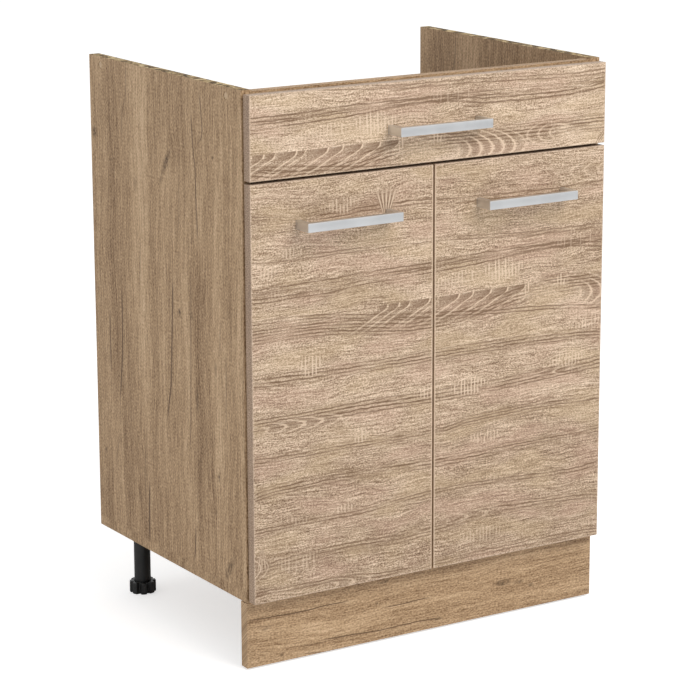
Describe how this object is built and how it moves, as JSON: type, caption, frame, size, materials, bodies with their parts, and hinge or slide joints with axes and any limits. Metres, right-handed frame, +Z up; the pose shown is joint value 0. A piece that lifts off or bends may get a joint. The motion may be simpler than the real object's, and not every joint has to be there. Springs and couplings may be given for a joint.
{
  "type": "kitchen sink base cabinet",
  "caption": "Open-topped kitchen base cabinet for a sink, with a fixed drawer front over a pair of hinged doors, bow handles, adjustable legs and a clip-on plinth.",
  "frame": {"origin": "on the floor, in the middle of the cabinet's footprint, handles included", "axes": "+X to the cabinet's right side seen from the front, +Y towards the wall, +Z up"},
  "size_m": [0.6, 0.493, 0.82],
  "materials": {
    "carcass_decor": "brown oak decor on particle board, matt",
    "front_decor": "light oak decor on particle board, finely brushed",
    "carcass_edge_band": "brown oak decor edge band",
    "front_edge_band": "light oak decor edge band",
    "dowel_beech": "plain beech",
    "zinc_plated_steel": "bright zinc plating",
    "nickel_plated_steel": "nickel plating, satin",
    "zinc_casting": "bare zinc casting",
    "handle_metal": "satin, with brighter bevels",
    "brown_plastic": "moulded, matt",
    "black_plastic": "moulded, matt",
    "clear_rubber": "soft, translucent looking",
    "white_plastic": "moulded, matt"
  },
  "bodies": {
    "carcass": {"bottom_panel": "carcass_decor", "carcass_edge_bands": "carcass_edge_band", "carcass_screws": "zinc_plated_steel", "cover_caps": "brown_plastic", "dowels": "dowel_beech", "drawer_front_bands": "front_edge_band", "drawer_front_handle": "handle_metal", "drawer_front_handle_screws": "zinc_plated_steel", "drawer_front_screws": "zinc_plated_steel", "drawer_front_spacers": "white_plastic", "fixed_drawer_front": "front_decor", "front_left_leg_tube": "black_plastic", "front_rail": "carcass_decor", "front_right_leg_tube": "black_plastic", "hinge_arm_screws": "zinc_plated_steel", "hinge_plate_screws": "zinc_plated_steel", "left_lower_hinge_arm": "nickel_plated_steel", "left_lower_hinge_plate": "nickel_plated_steel", "left_side_panel": "carcass_decor", "left_upper_hinge_arm": "nickel_plated_steel", "left_upper_hinge_plate": "nickel_plated_steel", "leg_screws": "zinc_plated_steel", "rail_cam_bolts": "zinc_plated_steel", "rail_cams": "zinc_casting", "rear_left_leg_tube": "black_plastic", "rear_lower_rail": "carcass_decor", "rear_right_leg_tube": "black_plastic", "rear_upper_rail": "carcass_decor", "right_lower_hinge_arm": "nickel_plated_steel", "right_lower_hinge_plate": "nickel_plated_steel", "right_side_panel": "carcass_decor", "right_upper_hinge_arm": "nickel_plated_steel", "right_upper_hinge_plate": "nickel_plated_steel"},
    "left_hinge_links": {"left_lower_hinge_link": "nickel_plated_steel", "left_upper_hinge_link": "nickel_plated_steel"},
    "left_door": {"left_door": "front_decor", "left_door_bands": "front_edge_band", "left_door_bumpers": "clear_rubber", "left_door_handle": "handle_metal", "left_door_handle_screws": "zinc_plated_steel", "left_hinge_cup_screws": "zinc_plated_steel", "left_lower_hinge_cup": "nickel_plated_steel", "left_upper_hinge_cup": "nickel_plated_steel"},
    "right_hinge_links": {"right_lower_hinge_link": "nickel_plated_steel", "right_upper_hinge_link": "nickel_plated_steel"},
    "right_door": {"right_door": "front_decor", "right_door_bands": "front_edge_band", "right_door_bumpers": "clear_rubber", "right_door_handle": "handle_metal", "right_door_handle_screws": "zinc_plated_steel", "right_hinge_cup_screws": "zinc_plated_steel", "right_lower_hinge_cup": "nickel_plated_steel", "right_upper_hinge_cup": "nickel_plated_steel"},
    "front_left_foot": {"front_left_leg_foot": "black_plastic"},
    "front_right_foot": {"front_right_leg_foot": "black_plastic"},
    "rear_left_foot": {"rear_left_leg_foot": "black_plastic"},
    "rear_right_foot": {"rear_right_leg_foot": "black_plastic"},
    "plinth": {"plinth_board": "carcass_decor", "plinth_clip_screws": "zinc_plated_steel", "plinth_clips": "black_plastic"}
  },
  "joints": [
    {"name": "left_hinge_links_turn", "type": "hinge", "parent": "carcass", "child": "left_hinge_links", "pos_m": [-0.264, -0.1895, 0.398], "axis": [0, 0, -1], "range_deg": [-15.4, 0]},
    {"name": "left_door_swing", "type": "hinge", "parent": "left_hinge_links", "child": "left_door", "pos_m": [-0.2895, -0.2045, 0.398], "axis": [0, 0, -1], "range_deg": [0, 110]},
    {"name": "right_hinge_links_turn", "type": "hinge", "parent": "carcass", "child": "right_hinge_links", "pos_m": [0.264, -0.1895, 0.398], "axis": [0, 0, 1], "range_deg": [-15.4, 0]},
    {"name": "right_door_swing", "type": "hinge", "parent": "right_hinge_links", "child": "right_door", "pos_m": [0.2895, -0.2045, 0.398], "axis": [0, 0, 1], "range_deg": [0, 110]},
    {"name": "front_left_foot_screw", "type": "slide", "parent": "carcass", "child": "front_left_foot", "axis": [0, 0, -1], "range_m": [-0.004, 0.02]},
    {"name": "front_right_foot_screw", "type": "slide", "parent": "carcass", "child": "front_right_foot", "axis": [0, 0, -1], "range_m": [-0.004, 0.02]},
    {"name": "rear_left_foot_screw", "type": "slide", "parent": "carcass", "child": "rear_left_foot", "axis": [0, 0, -1], "range_m": [-0.004, 0.02]},
    {"name": "rear_right_foot_screw", "type": "slide", "parent": "carcass", "child": "rear_right_foot", "axis": [0, 0, -1], "range_m": [-0.004, 0.02]},
    {"name": "plinth_pull", "type": "slide", "parent": "carcass", "child": "plinth", "axis": [0, -1, 0], "range_m": [0, 0.08]}
  ],
  "couplings": [
    {"joint": "left_hinge_links_turn", "follows": "left_door_swing", "ratio": -0.14},
    {"joint": "right_hinge_links_turn", "follows": "right_door_swing", "ratio": -0.14}
  ]
}
